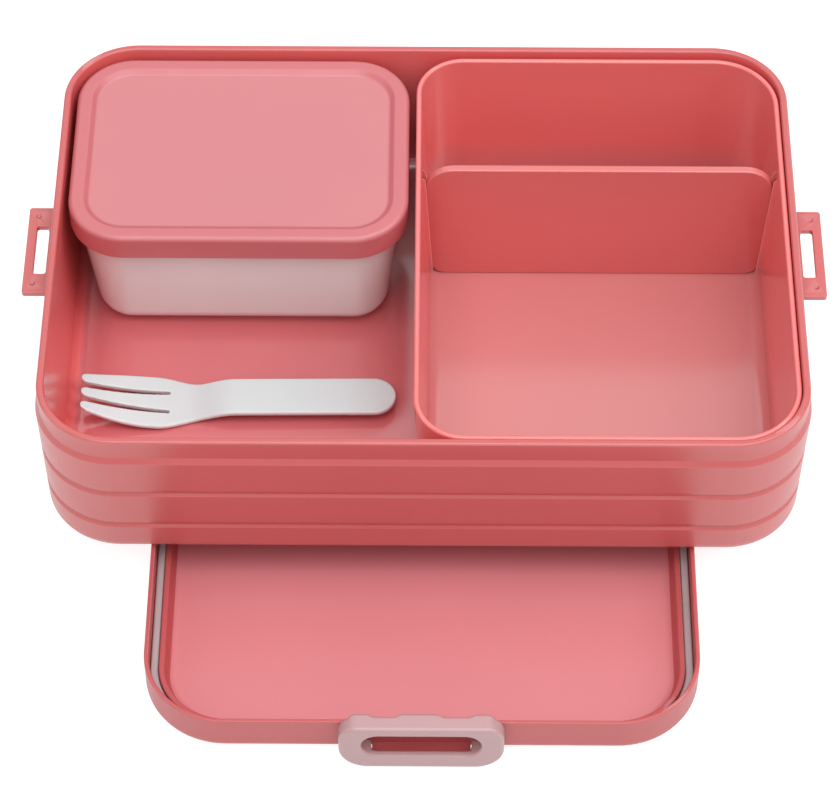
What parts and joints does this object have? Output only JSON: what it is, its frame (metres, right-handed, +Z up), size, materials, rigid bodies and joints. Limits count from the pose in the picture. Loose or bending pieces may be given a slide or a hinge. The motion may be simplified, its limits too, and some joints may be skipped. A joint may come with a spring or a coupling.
{
  "type": "bento lunch box",
  "caption": "Rectangular plastic lunch box laid open on its upturned lid, with a divided tray, a lidded pot and a fork inside.",
  "frame": {"origin": "middle of the lid's flat outer face, on the table, under the middle of the whole laid-out object", "axes": "+X along the tub's long side, +Y from the front to the back, +Z up from the table"},
  "size_m": [0.2556, 0.2554, 0.0706],
  "materials": {
    "coral_plastic": "moulded, semi-gloss",
    "pale_pink_plastic": "moulded, satin",
    "milky_plastic": "moulded, semi-gloss, slightly translucent",
    "white_plastic": "moulded, matte",
    "grey_seal": "silicone, matte"
  },
  "bodies": {
    "lid_body": {"lid": "coral_plastic", "lid_seal": "grey_seal"},
    "front_clip": {"clip_front": "pale_pink_plastic"},
    "rear_clip": {"clip_rear": "pale_pink_plastic"},
    "tub_body": {"tub": "coral_plastic"},
    "tray_body": {"tray": "coral_plastic"},
    "divider_plate": {"divider": "coral_plastic"},
    "pot_body": {"pot": "milky_plastic"},
    "pot_cover": {"pot_lid": "coral_plastic"},
    "fork_body": {"fork": "white_plastic"}
  },
  "joints": [
    {"name": "front_clip_swing", "type": "hinge", "parent": "lid_body", "child": "front_clip", "pos_m": [0, -0.12515, 0.0034], "axis": [1, 0, 0], "range_deg": [0, 90]},
    {"name": "rear_clip_swing", "type": "hinge", "parent": "lid_body", "child": "rear_clip", "pos_m": [0, 0.12515, 0.0034], "axis": [-1, 0, 0], "range_deg": [0, 90]},
    {"name": "tub_lift", "type": "slide", "parent": "lid_body", "child": "tub_body", "axis": [0, 0, 1], "range_m": [0, 0.12]},
    {"name": "tray_lift", "type": "slide", "parent": "tub_body", "child": "tray_body", "axis": [0, 0, 1], "range_m": [0, 0.09]},
    {"name": "divider_lift", "type": "slide", "parent": "tray_body", "child": "divider_plate", "axis": [0, 0, 1], "range_m": [0, 0.07]},
    {"name": "pot_lift", "type": "slide", "parent": "tub_body", "child": "pot_body", "axis": [0, 0, 1], "range_m": [0, 0.09]},
    {"name": "pot_lid_lift", "type": "slide", "parent": "pot_body", "child": "pot_cover", "axis": [0, 0, 1], "range_m": [0, 0.05]},
    {"name": "fork_lift", "type": "slide", "parent": "tub_body", "child": "fork_body", "axis": [0, 0, 1], "range_m": [0, 0.09]}
  ]
}
